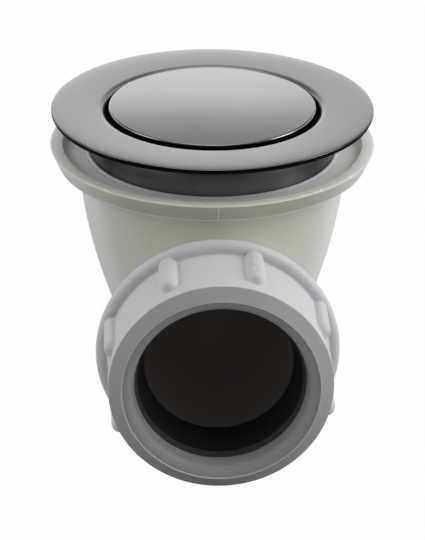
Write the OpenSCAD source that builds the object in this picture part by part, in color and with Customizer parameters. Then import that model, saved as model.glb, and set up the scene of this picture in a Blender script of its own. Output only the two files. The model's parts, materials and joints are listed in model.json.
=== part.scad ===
// Push-button bath waste with a moulded bowl, a turned metal flange and a side outlet.
// The origin is the centre of the flange's seat, level with the surface of the bath.
// The outlet points along -Y and the button rises along +Z. Sizes are in millimetres.

/* [Flange] */
// Outer diameter of the flange
flange_d = 85; // [82:0.5:88]
// Thickness of the flange at its edge
flange_edge_t = 0.8; // [0.6:0.1:1.6]
// Radius of the flange's outer edge, above and below
flange_edge_round = 0.2; // [0.1:0.05:0.25]
// Fall of the flange's face from its edge to its opening
flange_fall = 0.15; // [0.1:0.05:0.6]
// How far the flange's face bows up between its edge and its opening
flange_crown = 0.03; // [0.01:0.01:0.06]
// How far the flange reaches beyond its skirt
flange_lip = 10.05; // [9:0.05:12]
// Wall of the skirt round the throat
throat_wall = 3.6; // [3:0.1:4.5]
// Radius of the opening's rounded edge
opening_round = 0.8; // [0.5:0.1:1.4]
// Length of the bore that the button's seal slides in, below the seat
throat_l = 9; // [8:0.5:11]
// How much wider the skirt is bored below the throat, on the radius
bore_relief = 0.6; // [0.3:0.1:1]
// Length of the skirt below the seat
skirt_l = 17.5; // [16:0.5:19]
// Thickness of the gasket under the flange
gasket_t = 0.5; // [0.3:0.1:1]
// How far the gasket stays back from the flange's edge
gasket_inset = 0.3; // [0.1:0.1:1]

/* [Spider and hub] */
// Number of arms that carry the hub
arm_count = 4; // [3:1:6]
// Width of an arm
arm_w = 3; // [2:0.5:4]
// Height of an arm
arm_h = 5; // [4:0.5:6]
// Wall of the hub round the screw's head
hub_wall = 2.4; // [2:0.1:3.5]
// Thickness of metal under the screw's washer
hub_web = 3; // [2:0.5:4]
// Gap between the hub and the insert below it
hub_gap = 2; // [1:0.5:4]

/* [Button] */
// Gap round the cap in the flange's opening
cap_gap = 1.45; // [1:0.05:2]
// How far the cap's edge stands above the flange's edge
cap_rise = 0.36; // [0.1:0.02:0.8]
// Thickness of the cap at its edge
cap_t = 2.5; // [2:0.1:3]
// Radius of the cap's rounded edge
cap_round = 0.5; // [0.3:0.1:0.8]
// How much the middle of the cap stands above its edge
cap_crown = 0.25; // [0.1:0.05:0.6]
// Diameter of the threaded boss under the cap
cap_boss_d = 12; // [10:0.5:14]
// Height of the threaded boss
cap_boss_h = 1; // [0.5:0.1:1.5]
// Thickness of the disc that carries the seal
carrier_t = 4.1; // [3.8:0.1:5]
// How far the carrier's lower lip stays back from the throat
carrier_gap = 3.5; // [3:0.1:4.5]
// Depth of the seal's groove in the carrier
groove_depth = 1.5; // [1:0.1:2]
// Height of the seal's groove
groove_h = 1.9; // [1.6:0.1:2.2]
// Clearance between the seal's lip and the throat, on the radius
seal_clear = 0.35; // [0.3:0.05:0.5]
// Travel of the button when it is pressed past flush to release it
press_travel = 2; // [1.5:0.1:2.5]
// Rise of the button from flush to open
open_travel = 8.5; // [7:0.1:9]

/* [Plunger] */
// Diameter of the plunger's shaft
plunger_d = 6; // [5.5:0.1:6.5]
// Diameter of the threaded stud at the top of the plunger
stud_d = 5; // [4:0.1:5.2]
// Thickness of the hexagonal locknut under the carrier
locknut_h = 2.4; // [2:0.1:3]
// Width of the locknut across its corners
locknut_d = 11; // [10:0.1:12]
// Diameter of the collar at the foot of the plunger
collar_d = 9.2; // [8.6:0.1:9.6]
// Height of the collar
collar_h = 1.4; // [1:0.1:2]
// Height of the indexing rotor
rotor_h = 3.2; // [2.6:0.1:4]
// Number of teeth on the indexing rotor
rotor_teeth = 8; // [6:1:10]
// Depth of the rotor's teeth
tooth_depth = 0.9; // [0.6:0.1:1.2]
// Thickness of the spring clip above the rotor
clip_t = 0.6; // [0.5:0.1:0.8]
// Depth of the clip's groove in the plunger
clip_groove = 0.4; // [0.3:0.05:0.6]

/* [Cartridge] */
// Outer diameter of the cartridge
cartridge_d = 17.2; // [16.8:0.1:18]
// Wall of the cartridge
cartridge_wall = 1.6; // [1.4:0.1:1.9]
// Thickness of the cartridge's floor
cartridge_floor = 1.5; // [1.2:0.1:2.5]
// Thickness of the gland's head
gland_head_h = 1.4; // [1.2:0.1:2]
// Length of the gland's neck in the cartridge
gland_neck_l = 1.6; // [1.2:0.1:2]
// Wire diameter of the gland's O-ring
oring_wire = 1.2; // [1:0.1:1.3]
// Wall of the plastic cam sleeve
sleeve_wall = 0.7; // [0.5:0.05:0.9]
// Length of the spring when the button is flush
spring_l = 6.6; // [6:0.1:8]
// Wire diameter of the spring
spring_wire = 0.8; // [0.6:0.1:0.9]
// Turns of the spring
spring_turns = 4.5; // [3.5:0.5:5]
// Thickness of the washer on top of the spring
spring_seat_t = 0.6; // [0.4:0.1:1]
// Diameter of the threaded shank under the cartridge
shank_d = 8; // [7:0.1:8.4]
// Length of the threaded shank
shank_l = 10; // [8:0.5:11]

/* [Clamp screw] */
// Diameter of the clamp screw
screw_d = 11.8; // [11.4:0.1:12.4]
// Length of the screw under its head
screw_l = 24; // [22:0.5:25]
// Diameter of the screw's head
head_d = 15.6; // [15:0.1:16.2]
// Height of the screw's head
head_h = 4; // [3:0.5:5]
// Width of the driving slot across the head
slot_w = 2.4; // [2:0.1:3]
// Depth of the driving slot
slot_depth = 1.6; // [1:0.1:2]
// Depth of the tapped hole that takes the cartridge
screw_bore_l = 12; // [11.5:0.5:13]
// Thickness of the washer under the head
washer_t = 0.9; // [0.6:0.1:1.5]
// Length of brass thread in the insert
insert_l = 12; // [10:0.5:14]
// Wall of the insert
insert_wall = 1.4; // [1:0.1:1.8]
// Thickness of the insert's flange
insert_flange_t = 1; // [0.8:0.1:1.5]

/* [Body] */
// Clear height between the flange's seat and the top of the rim
bath_gap = 8.5; // [7:0.1:10]
// How far the rim reaches beyond the bowl
rim_lip = 7.6; // [6:0.1:9]
// Height of the rim
rim_h = 4.7; // [4:0.1:6]
// How much the rim's side tapers in below, on the radius
rim_draft = 2.1; // [1:0.1:2.5]
// Wall of the rim outside the gasket recess
recess_wall = 3.25; // [2.5:0.05:4]
// Depth of the gasket recess
recess_h = 2; // [1:0.1:2.4]
// Clearance between the skirt and the mouth of the bowl, on the radius
skirt_clear = 0.55; // [0.4:0.05:0.8]
// Wall of the bowl
bowl_wall = 2.35; // [2:0.05:2.8]
// Thickness of the bowl's floor
floor_t = 2.8; // [2:0.1:4]
// How much the bowl draws in from its mouth to its foot, on the radius
bowl_draw = 19.95; // [18:0.05:22]
// Radius of the rounded edge of the foot
foot_round = 5; // [2:0.5:7]
// How fast the bowl draws in towards its foot
bowl_power = 1.7; // [1.5:0.05:2]
// Width of the ledge that the skirt stands on
ledge_w = 1.6; // [1.2:0.1:2.2]
// Height of the ledge
ledge_h = 2.5; // [2:0.1:4]
// Wall of the post that holds the insert
post_wall = 1.6; // [1.4:0.1:2.5]
// Thickness of the four webs at the foot of the post
post_web_t = 1.8; // [1.2:0.1:2.4]
// How far those webs stay back from the edge of the foot
post_web_inset = 0.4; // [0.2:0.1:2]
// Height of those webs above the floor
post_web_h = 10; // [6:0.5:14]

/* [Outlet] */
// Depth of the outlet's axis below the seat
outlet_drop = 48.2; // [47:0.1:50]
// Diameter of the waste pipe that goes into the outlet
pipe_d = 40; // [38:0.5:42]
// Clearance between the pipe and its socket, on the radius
socket_clear = 0.4; // [0.2:0.1:0.8]
// Wall of the spigot up to the crest of its thread
spigot_wall = 3.5; // [3:0.1:4.2]
// Length of the spigot in front of its collar
spigot_l = 23; // [21:0.5:26]
// Pitch of the outlet's thread
thread_pitch = 2.309; // [2:0.001:2.5]
// Clearance between the thread and the nut, on the radius
thread_clear = 0.1; // [0.05:0.05:0.2]
// How far the collar at the spigot's root stands over the thread
collar_step = 1.1; // [0.8:0.1:2]
// How far that collar's face stands in front of the bowl
collar_reach = 0.65; // [0.2:0.05:2]

/* [Outlet seal] */
// How much wider than the pipe the seal's mouth is, on the radius
seal_mouth_clear = 0.9; // [0.6:0.1:1.2]
// How much narrower than the pipe the seal's inner end is, on the radius
seal_grip = 1; // [0.5:0.1:1.5]
// Width of the sloping lip round the seal's mouth
seal_lip_w = 0.9; // [0.6:0.1:1.2]
// Thickness of the seal's flange in front of the spigot
seal_flange_t = 2.2; // [1.8:0.1:3]
// Depth of the seal's cone in the spigot
seal_cone_l = 8.3; // [7:0.1:10]
// Depth of the sloping lip in the seal's front
seal_lip_l = 1.3; // [1:0.1:1.6]
// Thickness of the slip ring
slip_t = 1; // [0.8:0.1:1.5]

/* [Outlet nut] */
// Wall of the nut's barrel
nut_wall = 4.3; // [3.5:0.1:5]
// Length of the nut from its rear face to the crest of its front face
nut_l = 24.5; // [23:0.1:27]
// Height of the rounded ring at the nut's rear above the barrel
nut_ring_h = 3; // [2:0.1:4]
// Thickness of that ring
nut_ring_t = 4.25; // [3.5:0.05:5]
// How much wider than the pipe the nut's opening is, on the radius
nut_opening_clear = 2.1; // [1.9:0.1:2.5]
// Length of the opening's straight wall
nut_land_l = 2.6; // [2:0.1:3]
// Width of the dished face between the opening and its crest
nut_crest_w = 2.8; // [2.2:0.1:3.4]
// How far the crest stands in front of the barrel's edge
nut_crest_h = 2; // [1.5:0.1:2.5]
// Radius of the rounded edge between the barrel and the nut's face
nut_edge_round = 0.5; // [0.3:0.1:0.8]
// Depth of the hollow between the crest and the opening
nut_hollow = 1.9; // [1.5:0.1:2.4]
// Number of grip ribs
rib_count = 8; // [6:1:12]
// Width of a grip rib
rib_w = 4.9; // [4:0.1:6]
// Height of a grip rib above the barrel
rib_h = 2.25; // [1.5:0.05:2.4]
// How far behind the edge of the nut's face the ribs end
rib_setback = 3.6; // [0.5:0.1:6]
// Turn of the ribs from upright
rib_phase = 27; // [-45:0.5:45]
// Clearance under the nut when the body stands on its foot
nut_floor_gap = 0.3; // [0.3:0.1:1]

/* [Fits] */
// Clearance between a turning or sliding shaft and its bore, on the radius
run_clear = 0.1; // [0.05:0.05:0.15]
// Clearance between parts that are threaded or pressed together
joint_clear = 0.05; // [0.05:0.05:0.1]
// Gap between faces that turn or land on each other
face_clear = 0.1; // [0.05:0.05:0.15]
// Spare length at each end of the button's travel
travel_clear = 0.5; // [0.3:0.1:0.8]

/* [Hidden] */
$fn = 96;
EPS = 0.01;
FAR = 200;

flange_r = flange_d / 2;
flange_top = gasket_t + flange_edge_t;
skirt_r = flange_r - flange_lip;
opening_r = skirt_r - throat_wall;
opening_top = flange_top - flange_fall;
skirt_bore_r = opening_r + bore_relief;

cap_r = opening_r - cap_gap;
cap_top = flange_top + cap_rise;
cap_bottom = cap_top - cap_t;
carrier_bottom = cap_bottom - carrier_t;
carrier_r = opening_r - carrier_gap;
groove_top = cap_bottom - (carrier_t - groove_h) / 2;
plug_seal_r = opening_r - seal_clear;
stud_top = cap_bottom + cap_t / 2;
locknut_bottom = carrier_bottom - locknut_h;

gland_top = locknut_bottom - press_travel - travel_clear;
cartridge_top = gland_top - gland_head_h;
gland_bottom = cartridge_top - gland_neck_l;
clip_top = gland_bottom - open_travel - travel_clear;
rotor_top = clip_top - clip_t - face_clear;
collar_top = rotor_top - rotor_h - face_clear;
collar_bottom = collar_top - collar_h;
spring_top = collar_bottom - spring_seat_t;
cavity_floor = spring_top - spring_l;
cartridge_bottom = cavity_floor - cartridge_floor;
cartridge_r = cartridge_d / 2;
cavity_r = cartridge_r - cartridge_wall;
sleeve_r = cavity_r - joint_clear;
rotor_r = sleeve_r - sleeve_wall - run_clear;
plunger_r = plunger_d / 2;
clip_groove_r = plunger_r - clip_groove;

head_bottom = cartridge_bottom - head_h;
washer_top = head_bottom - face_clear;
washer_bottom = washer_top - washer_t;
hub_bottom = washer_bottom - hub_web;
screw_r = screw_d / 2;
head_r = head_d / 2;
hub_pocket_r = head_r + 3 * run_clear;
hub_r = hub_pocket_r + hub_wall;
screw_bottom = head_bottom - screw_l;
tapped_r = shank_d / 2 + joint_clear;
insert_top = hub_bottom - hub_gap;
post_top = insert_top - insert_flange_t;
insert_bore_r = screw_r + run_clear;
insert_r = insert_bore_r + insert_wall;
post_r = insert_r + post_wall;

mouth_r = skirt_r + skirt_clear;
bowl_r = mouth_r + bowl_wall;
rim_r = bowl_r + rim_lip;
rim_top = -bath_gap;
rim_bottom = rim_top - rim_h;
recess_r = rim_r - recess_wall;
ledge_top = -skirt_l - face_clear;
ledge_r = mouth_r - ledge_w;

pipe_r = pipe_d / 2;
socket_r = pipe_r + socket_clear;
thread_r = socket_r + spigot_wall;
thread_depth = 0.64 * thread_pitch;
thread_core_r = thread_r - thread_depth;
nut_bore_r = thread_r + thread_clear;
nut_r = nut_bore_r + nut_wall;
nut_ring_r = nut_r + nut_ring_h;

body_base = -outlet_drop - nut_ring_r - nut_floor_gap;
floor_top = body_base + floor_t;
bowl_h = rim_bottom - body_base;
foot_r = bowl_r - bowl_draw;
post_web_r = foot_r - post_web_inset;
foot_angle = atan((bowl_r - foot_r) * bowl_power / bowl_h);
foot_top = body_base + foot_round * (1 - sin(foot_angle));
bowl_steps = 18;

collar_root_r = thread_r + collar_step;
collar_root_y = bowl_r + collar_reach;
spigot_end = collar_root_y + spigot_l;
seal_mouth_r = pipe_r + seal_mouth_clear;
seal_face_r = seal_mouth_r + seal_lip_w;
seal_bore_r = pipe_r - seal_grip;
seal_front = spigot_end + seal_flange_t;
seal_back = spigot_end - seal_cone_l;
flare_r = seal_face_r + joint_clear;
slip_back = seal_front + 2 * face_clear;
slip_front = slip_back + slip_t;
slip_r = nut_bore_r - 4 * run_clear;
nut_shoulder = slip_front + face_clear;
nut_mouth = nut_shoulder + nut_land_l;
nut_opening_r = pipe_r + nut_opening_clear;
nut_crest_r = nut_opening_r + nut_crest_w;
nut_crest_y = nut_mouth + nut_hollow;
nut_back = nut_crest_y - nut_l;
nut_edge_y = nut_crest_y - nut_crest_h;
rib_r = rib_w / 2;
rib_axis_r = nut_r + rib_h - rib_r;

// Points on an arc round c, from angle a0 to angle a1
function arc(c, r, a0, a1, steps = 8) =
    [for (i = [0:steps]) let (a = a0 + (a1 - a0) * i / steps) c + r * [cos(a), sin(a)]];

// Points on a shallow bow from p to q that stands rise to the left of the chord
function bow(p, q, rise, steps = 8) =
    let (chord = q - p, side = [-chord[1], chord[0]] / norm(chord))
    [for (i = [0:steps]) let (t = i / steps) p + t * chord + 4 * rise * t * (1 - t) * side];

// Outer radius of the bowl at height z, which rounding may leave a hair above the rim's underside
function bowl_radius(z) =
    bowl_r - (bowl_r - foot_r) * pow(max(rim_bottom - z, 0) / bowl_h, bowl_power);

// Points up the bowl's side between two heights, set back from its outer face
function bowl_side(z0, z1, inset) =
    [for (i = [0:bowl_steps]) let (z = z0 + (z1 - z0) * i / bowl_steps) [bowl_radius(z) - inset, z]];

// A round bar between two heights
module bar(r, z0, z1) {
    translate([0, 0, z0])
        cylinder(r = r, h = z1 - z0);
}

// A washer between two heights
module ring(outer, inner, z0, z1) {
    difference() {
        bar(outer, z0, z1);
        bar(inner, z0 - 1, z1 + 1);
    }
}

// Lays a shape drawn along +Z onto the outlet's axis, so that its height runs along -Y
module on_outlet() {
    translate([0, 0, -outlet_drop])
        rotate([90, 0, 0])
            children();
}

module flange_section() {
    edge = flange_edge_round;
    polygon(concat(
        [[skirt_bore_r, -skirt_l], [skirt_r - 0.5, -skirt_l], [skirt_r, -skirt_l + 0.5]],
        [[skirt_r, gasket_t]],
        arc([flange_r - edge, gasket_t + edge], edge, -90, 0, 4),
        arc([flange_r - edge, flange_top - edge], edge, 0, 90, 4),
        bow([flange_r - edge, flange_top], [opening_r + opening_round, opening_top], -flange_crown, 6),
        arc([opening_r + opening_round, opening_top - opening_round], opening_round, 90, 180),
        [[opening_r, -throat_l], [skirt_bore_r, -throat_l - bore_relief]]
    ));
}

module spider_arm() {
    outer = skirt_bore_r + (skirt_r - skirt_bore_r) / 2;
    rotate([90, 0, 0])
        translate([0, 0, -arm_w / 2])
            linear_extrude(arm_w)
                polygon(concat(
                    [[hub_r - 1, hub_bottom + 1]],
                    bow([hub_r, hub_bottom + 1], [outer, -skirt_l], 2),
                    bow([outer, -skirt_l + arm_h], [hub_r, hub_bottom + 1 + arm_h], -2),
                    [[hub_r - 1, hub_bottom + 1 + arm_h]]
                ));
}

module flange() {
    color([0.42, 0.42, 0.43])
    difference() {
        union() {
            rotate_extrude()
                flange_section();
            for (i = [0:arm_count - 1])
                rotate(45 + i * 360 / arm_count)
                    spider_arm();
            bar(hub_r, hub_bottom, cartridge_bottom);
        }
        bar(hub_pocket_r, washer_bottom, FAR / 4);
        bar(screw_r + 2 * run_clear, hub_bottom - 1, washer_top);
    }
}

module flange_gasket() {
    color([0.08, 0.08, 0.08])
    ring(flange_r - gasket_inset, skirt_r + joint_clear, 0, gasket_t);
}

module button_cap() {
    color([0.46, 0.46, 0.47])
    difference() {
        union() {
            rotate_extrude()
                polygon(concat(
                    [[0, cap_bottom], [cap_r - 0.3, cap_bottom], [cap_r, cap_bottom + 0.3]],
                    arc([cap_r - cap_round, cap_top - cap_round], cap_round, 0, 90, 6),
                    [for (t = [0.85, 0.7, 0.55, 0.4, 0.25, 0])
                        [t * cap_r, cap_top + cap_crown * (1 - t * t)]]
                ));
            bar(cap_boss_d / 2, cap_bottom - cap_boss_h, cap_bottom + EPS);
        }
        bar(stud_d / 2 + joint_clear, cap_bottom - cap_boss_h - 1, stud_top + joint_clear);
    }
}

module seal_carrier() {
    groove_r = carrier_r - groove_depth;
    color([0.10, 0.10, 0.11])
    difference() {
        bar(carrier_r, carrier_bottom, cap_bottom);
        ring(carrier_r + 1, groove_r, groove_top - groove_h, groove_top);
        bar(cap_boss_d / 2 + joint_clear, cap_bottom - cap_boss_h - joint_clear, cap_top);
        bar(stud_d / 2 + joint_clear, carrier_bottom - 1, cap_top);
    }
}

module plug_seal() {
    inner = carrier_r - groove_depth + joint_clear;
    top = groove_top - joint_clear;
    bottom = groove_top - groove_h + joint_clear;
    middle = (top + bottom) / 2;
    color([0.06, 0.06, 0.06])
    rotate_extrude()
        polygon([
            [inner, bottom],
            [carrier_r + 0.4, bottom],
            [plug_seal_r - 0.6, middle - 0.75],
            [plug_seal_r, middle - 0.4],
            [plug_seal_r, middle + 0.1],
            [plug_seal_r - 0.8, middle + 0.3],
            [carrier_r + 0.4, top],
            [inner, top]
        ]);
}

module cap_locknut() {
    color([0.78, 0.65, 0.36])
    difference() {
        translate([0, 0, locknut_bottom])
            cylinder(d = locknut_d, h = locknut_h, $fn = 6);
        bar(stud_d / 2 + joint_clear, locknut_bottom - 1, carrier_bottom + 1);
    }
}

module plunger() {
    color([0.80, 0.67, 0.38])
    difference() {
        union() {
            bar(collar_d / 2, collar_bottom, collar_top);
            bar(plunger_r, collar_top - EPS, locknut_bottom);
            bar(stud_d / 2, locknut_bottom - EPS, stud_top);
        }
        ring(plunger_r + 1, clip_groove_r, clip_top - clip_t - joint_clear, clip_top + joint_clear);
    }
}

module index_rotor() {
    pitch_angle = 360 / rotor_teeth;
    tooth_w = 2 * rotor_r * tan(pitch_angle / 2) * 0.92;
    color([0.90, 0.88, 0.80])
    difference() {
        ring(rotor_r, plunger_r + run_clear, rotor_top - rotor_h, rotor_top);
        for (i = [0:rotor_teeth - 1])
            rotate(i * pitch_angle)
                translate([plunger_r + 0.5, 0, rotor_top])
                    rotate([90, 0, 90])
                        linear_extrude(rotor_r)
                            polygon([[-tooth_w / 2, 0], [-tooth_w / 2, 1], [tooth_w / 2, 1], [tooth_w / 4, -tooth_depth]]);
    }
}

module rotor_clip() {
    color([0.60, 0.61, 0.63])
    difference() {
        ring(collar_d / 2, clip_groove_r + joint_clear, clip_top - clip_t, clip_top);
        translate([0, -clip_groove_r * 0.8, clip_top - clip_t - 1])
            cube([FAR, clip_groove_r * 1.6, clip_t + 2]);
    }
}

module spring_seat() {
    color([0.66, 0.67, 0.69])
    ring(rotor_r, plunger_r / 2, spring_top, collar_bottom);
}

module cartridge_body() {
    color([0.80, 0.67, 0.38])
    difference() {
        union() {
            bar(cartridge_r, cartridge_bottom, cartridge_top);
            bar(shank_d / 2, cartridge_bottom - shank_l, cartridge_bottom + EPS);
        }
        bar(cavity_r, cavity_floor, cartridge_top + 1);
        for (side = [0, 180])
            rotate(side)
                translate([cartridge_r - 0.6, -cartridge_r, cartridge_bottom - 1])
                    cube([cartridge_r, cartridge_d, 5]);
    }
}

module cartridge_gland() {
    groove_r = plunger_r + run_clear + oring_wire;
    groove_middle = (gland_top + gland_bottom) / 2;
    color([0.78, 0.65, 0.36])
    difference() {
        union() {
            bar(cartridge_r, cartridge_top, gland_top);
            bar(cavity_r - joint_clear, gland_bottom, cartridge_top + EPS);
        }
        bar(plunger_r + run_clear, gland_bottom - 1, gland_top + 1);
        bar(groove_r, groove_middle - 0.6 * oring_wire, groove_middle + 0.6 * oring_wire);
        for (side = [0, 180])
            rotate(side)
                translate([cartridge_r - 0.6, -cartridge_r, cartridge_top])
                    cube([cartridge_r, cartridge_d, gland_head_h + 1]);
    }
}

module gland_oring() {
    color([0.07, 0.07, 0.07])
    translate([0, 0, (gland_top + gland_bottom) / 2])
        rotate_extrude()
            translate([plunger_r + run_clear + oring_wire / 2, 0])
                circle(d = oring_wire - 2 * joint_clear, $fn = 24);
}

module cam_sleeve() {
    color([0.93, 0.93, 0.90])
    difference() {
        ring(sleeve_r, sleeve_r - sleeve_wall, cavity_floor, gland_bottom - joint_clear);
        for (i = [0:2])
            rotate(i * 120)
                translate([sleeve_r - sleeve_wall - 1, -0.6, spring_top])
                    cube([1 + sleeve_wall / 2, 1.2, FAR / 4]);
    }
}

module return_spring() {
    wire_r = spring_wire / 2;
    coil_r = rotor_r - wire_r - 3 * run_clear;
    rise = spring_l - spring_wire - joint_clear;
    steps = 16 * spring_turns;
    sides = 6;
    points = [
        for (i = [0:steps], s = [0:sides - 1])
            let (a = 360 * spring_turns * i / steps, b = 360 * s / sides, r = coil_r + wire_r * cos(b))
            [r * cos(a), r * sin(a), cavity_floor + wire_r + joint_clear / 2 + rise * i / steps + wire_r * sin(b)]
    ];
    faces = concat(
        [[for (s = [0:sides - 1]) s]],
        [for (i = [0:steps - 1], s = [0:sides - 1])
            let (n = (s + 1) % sides)
            [i * sides + s, (i + 1) * sides + s, (i + 1) * sides + n, i * sides + n]],
        [[for (s = [sides - 1:-1:0]) steps * sides + s]]
    );
    color([0.70, 0.71, 0.73])
    polyhedron(points, faces, convexity = 6);
}

module clamp_screw() {
    color([0.80, 0.67, 0.38])
    difference() {
        union() {
            bar(head_r, head_bottom, cartridge_bottom);
            bar(screw_r, screw_bottom + 1, head_bottom + EPS);
            translate([0, 0, screw_bottom])
                cylinder(r1 = screw_r - 1, r2 = screw_r, h = 1);
        }
        bar(tapped_r, cartridge_bottom - screw_bore_l, cartridge_bottom + 1);
        translate([-head_r - 1, -slot_w / 2, cartridge_bottom - slot_depth])
            cube([head_d + 2, slot_w, slot_depth + 1]);
    }
}

module screw_washer() {
    color([0.66, 0.67, 0.69])
    ring(hub_pocket_r - run_clear, screw_r + 2 * run_clear, washer_bottom, washer_top);
}

module clamp_insert() {
    color([0.80, 0.67, 0.38])
    difference() {
        union() {
            bar(insert_r, post_top - insert_l, post_top + EPS);
            bar(insert_r + 0.8, post_top, insert_top);
        }
        bar(insert_bore_r, post_top - insert_l - 1, insert_top + 1);
    }
}

module bowl_outside() {
    foot_centre = bowl_radius(foot_top) - foot_round * cos(foot_angle);
    rotate_extrude()
        polygon(concat(
            [[0, body_base]],
            arc([foot_centre, body_base + foot_round], foot_round, -90, -foot_angle, 6),
            bowl_side(foot_top + EPS, rim_bottom, 0),
            [[rim_r - rim_draft, rim_bottom], [rim_r, rim_top], [0, rim_top]]
        ));
}

module bowl_inside() {
    slope_end = ledge_top - ledge_h - ledge_w;
    rotate_extrude()
        polygon(concat(
            [[0, floor_top]],
            bowl_side(floor_top, slope_end, bowl_wall),
            [[ledge_r, ledge_top - ledge_h], [ledge_r, ledge_top], [mouth_r, ledge_top]],
            [[mouth_r, rim_top - recess_h], [recess_r, rim_top - recess_h]],
            [[recess_r, rim_top + 1], [0, rim_top + 1]]
        ));
}

module insert_post() {
    bar(post_r, floor_top - 1, post_top);
    for (i = [0:3])
        rotate(45 + 90 * i)
            rotate([90, 0, 0])
                translate([0, 0, -post_web_t / 2])
                    linear_extrude(post_web_t)
                        polygon([
                            [post_r - 1, floor_top - 1],
                            [post_web_r, floor_top - 1],
                            [post_web_r, floor_top + 1],
                            [post_r - 1, floor_top + post_web_h]
                        ]);
}

module spigot_bore() {
    on_outlet() {
        bar(socket_r, post_r + 2, spigot_end + 1);
        translate([0, 0, seal_back])
            cylinder(r1 = socket_r, r2 = flare_r, h = seal_cone_l + EPS);
    }
}

module drain_body() {
    color([0.84, 0.85, 0.80])
    difference() {
        union() {
            difference() {
                union() {
                    bowl_outside();
                    on_outlet() {
                        bar(thread_core_r, post_r, spigot_end);
                        bar(collar_root_r, post_r, collar_root_y);
                    }
                }
                bowl_inside();
                spigot_bore();
            }
            insert_post();
        }
        bar(insert_r + joint_clear, post_top - insert_l - joint_clear, post_top + 1);
        bar(screw_r + run_clear, screw_bottom - 2, post_top + 1);
    }
}

module outlet_seal() {
    cone_front_r = flare_r - 3 * joint_clear;
    cone_back_r = socket_r - 3 * joint_clear;
    color([0.07, 0.07, 0.07])
    on_outlet()
        rotate_extrude()
            polygon([
                [seal_bore_r, seal_back],
                [cone_back_r, seal_back],
                [cone_front_r, spigot_end],
                [nut_bore_r - 4 * run_clear, spigot_end],
                [nut_bore_r - 4 * run_clear, seal_front],
                [seal_face_r, seal_front],
                [seal_mouth_r, seal_front - seal_lip_l]
            ]);
}

module slip_ring() {
    color([0.80, 0.80, 0.80])
    on_outlet()
        ring(slip_r, nut_opening_r + 3 * run_clear, slip_back, slip_front);
}

module nut_section() {
    tip_r = nut_ring_t / 2;
    difference() {
        union() {
            translate([nut_bore_r - 1, nut_back])
                square([nut_r - nut_bore_r + 1, nut_edge_y - nut_edge_round - nut_back]);
            translate([nut_bore_r, nut_back])
                square([nut_ring_r - tip_r - nut_bore_r, nut_ring_t]);
            translate([nut_ring_r - tip_r, nut_back + tip_r])
                circle(r = tip_r, $fn = 32);
            polygon(concat(
                [[nut_opening_r, nut_shoulder - 0.5], [nut_r, nut_shoulder - 0.5]],
                arc([nut_r - nut_edge_round, nut_edge_y - nut_edge_round], nut_edge_round, 0, 57, 4),
                bow([nut_crest_r, nut_crest_y], [nut_opening_r, nut_mouth], 0.3)
            ));
        }
        translate([0, nut_back - 1])
            square([nut_bore_r, nut_shoulder - nut_back + 1]);
        square([nut_opening_r, FAR]);
    }
}

module outlet_nut() {
    rib_front = nut_edge_y - rib_setback - rib_r;
    rib_back = nut_back + nut_ring_t / 2;
    color([0.70, 0.71, 0.72])
    on_outlet()
        difference() {
            union() {
                rotate_extrude()
                    nut_section();
                for (i = [0:rib_count - 1])
                    rotate(90 + rib_phase + i * 360 / rib_count)
                        translate([rib_axis_r, 0, 0]) {
                            bar(rib_r, rib_back, rib_front);
                            translate([0, 0, rib_front])
                                sphere(r = rib_r);
                        }
            }
            bar(nut_bore_r, nut_back - 1, nut_shoulder);
        }
}

flange();
flange_gasket();
button_cap();
seal_carrier();
plug_seal();
cap_locknut();
plunger();
index_rotor();
rotor_clip();
spring_seat();
cartridge_body();
cartridge_gland();
gland_oring();
cam_sleeve();
return_spring();
clamp_screw();
screw_washer();
drain_body();
clamp_insert();
outlet_seal();
slip_ring();
outlet_nut();
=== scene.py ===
import json
import math
import bmesh
import bpy
import numpy as np
from mathutils import Matrix, Vector


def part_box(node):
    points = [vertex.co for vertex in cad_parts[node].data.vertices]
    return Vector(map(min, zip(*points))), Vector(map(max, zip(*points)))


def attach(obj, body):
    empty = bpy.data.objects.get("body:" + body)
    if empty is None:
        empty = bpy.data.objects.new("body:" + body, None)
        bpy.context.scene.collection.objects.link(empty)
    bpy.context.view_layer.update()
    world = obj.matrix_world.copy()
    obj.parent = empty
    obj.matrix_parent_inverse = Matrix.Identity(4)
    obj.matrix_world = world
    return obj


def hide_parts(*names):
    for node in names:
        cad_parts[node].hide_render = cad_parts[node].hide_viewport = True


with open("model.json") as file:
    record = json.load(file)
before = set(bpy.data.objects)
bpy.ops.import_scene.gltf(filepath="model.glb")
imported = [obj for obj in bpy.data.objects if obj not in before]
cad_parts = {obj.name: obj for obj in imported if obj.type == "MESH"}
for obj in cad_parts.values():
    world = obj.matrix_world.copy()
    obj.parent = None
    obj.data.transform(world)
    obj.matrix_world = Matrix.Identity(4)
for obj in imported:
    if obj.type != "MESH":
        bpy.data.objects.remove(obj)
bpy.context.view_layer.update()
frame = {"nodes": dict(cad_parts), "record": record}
nodes = frame["nodes"]


# Drain body
# The bowl, its rim, the post for the clamp screw and the side spigot are one moulding in natural
# polypropylene. The mould opens along X, so a thin flash line runs down the middle of the front.
outlet_drop = 48.2
to_outlet = Matrix.Translation((0, 0, -outlet_drop)) @ Matrix.Rotation(math.pi / 2, 4, "X")


def box_mm(node):
    """The low and the high corner of one of the frame's nodes, in millimetres."""
    low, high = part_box(node)
    return low * 1000, high * 1000


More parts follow.
